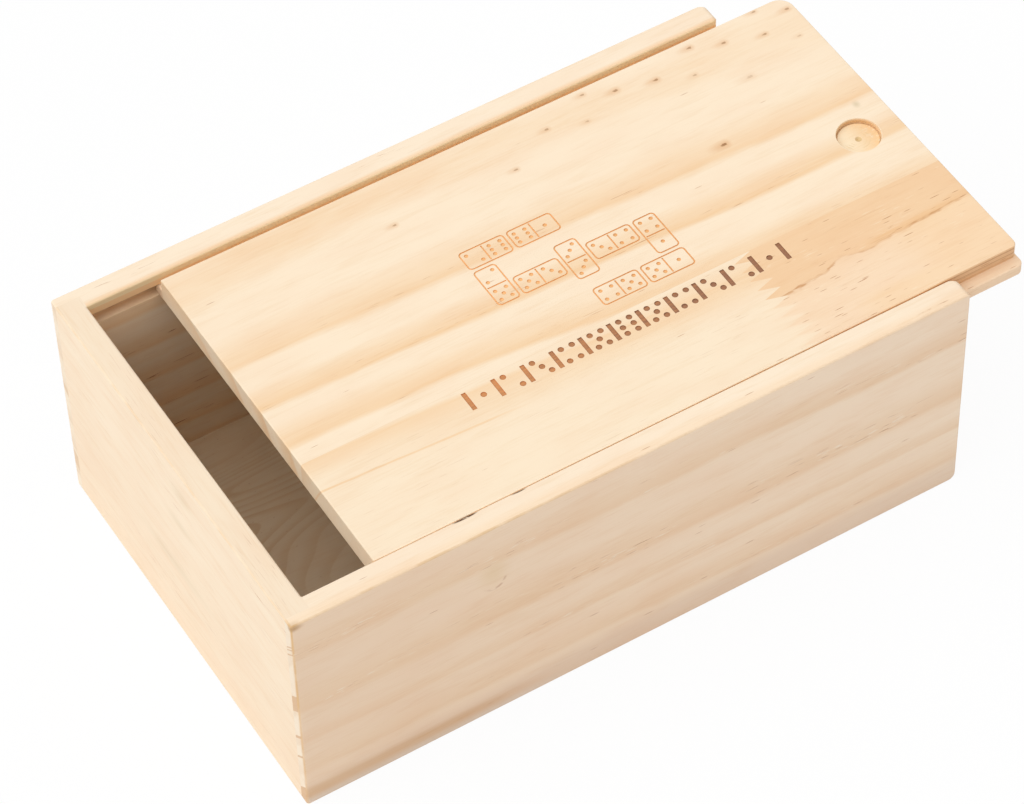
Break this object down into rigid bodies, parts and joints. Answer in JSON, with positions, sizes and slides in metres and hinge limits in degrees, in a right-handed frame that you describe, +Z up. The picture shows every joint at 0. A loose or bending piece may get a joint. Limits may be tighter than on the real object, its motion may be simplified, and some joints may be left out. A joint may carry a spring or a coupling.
{
  "type": "sliding lid storage box",
  "caption": "Pine storage box for domino tiles: rabbeted boards, a flush plywood bottom and a tongued lid that slides out of side grooves over the lower end board.",
  "frame": {"origin": "middle of the glued case on the surface it stands on, which is the underside of the bottom panel", "axes": "+X along the case to the end where the lid slides out, +Y to the back side, +Z up"},
  "size_m": [0.22, 0.125, 0.074],
  "materials": {
    "side_pine": "sanded bare pine, straight tan and cream grain along the board",
    "end_pine": "sanded bare pine, pale, fine straight grain across the end",
    "bottom_plywood": "thin plywood with a rotary-cut face veneer, unfinished",
    "lid_pine": "sanded bare pine with broad honey bands, pin knots and a burnt line engraving"
  },
  "bodies": {
    "case": {"front_side": "side_pine", "back_side": "side_pine", "closed_end": "end_pine", "open_end": "end_pine", "bottom_panel": "bottom_plywood"},
    "lid": {"lid": "lid_pine"}
  },
  "joints": [
    {"name": "lid_slide", "type": "slide", "parent": "case", "child": "lid", "axis": [1, 0, 0], "range_m": [-0.02, 0.172]}
  ]
}
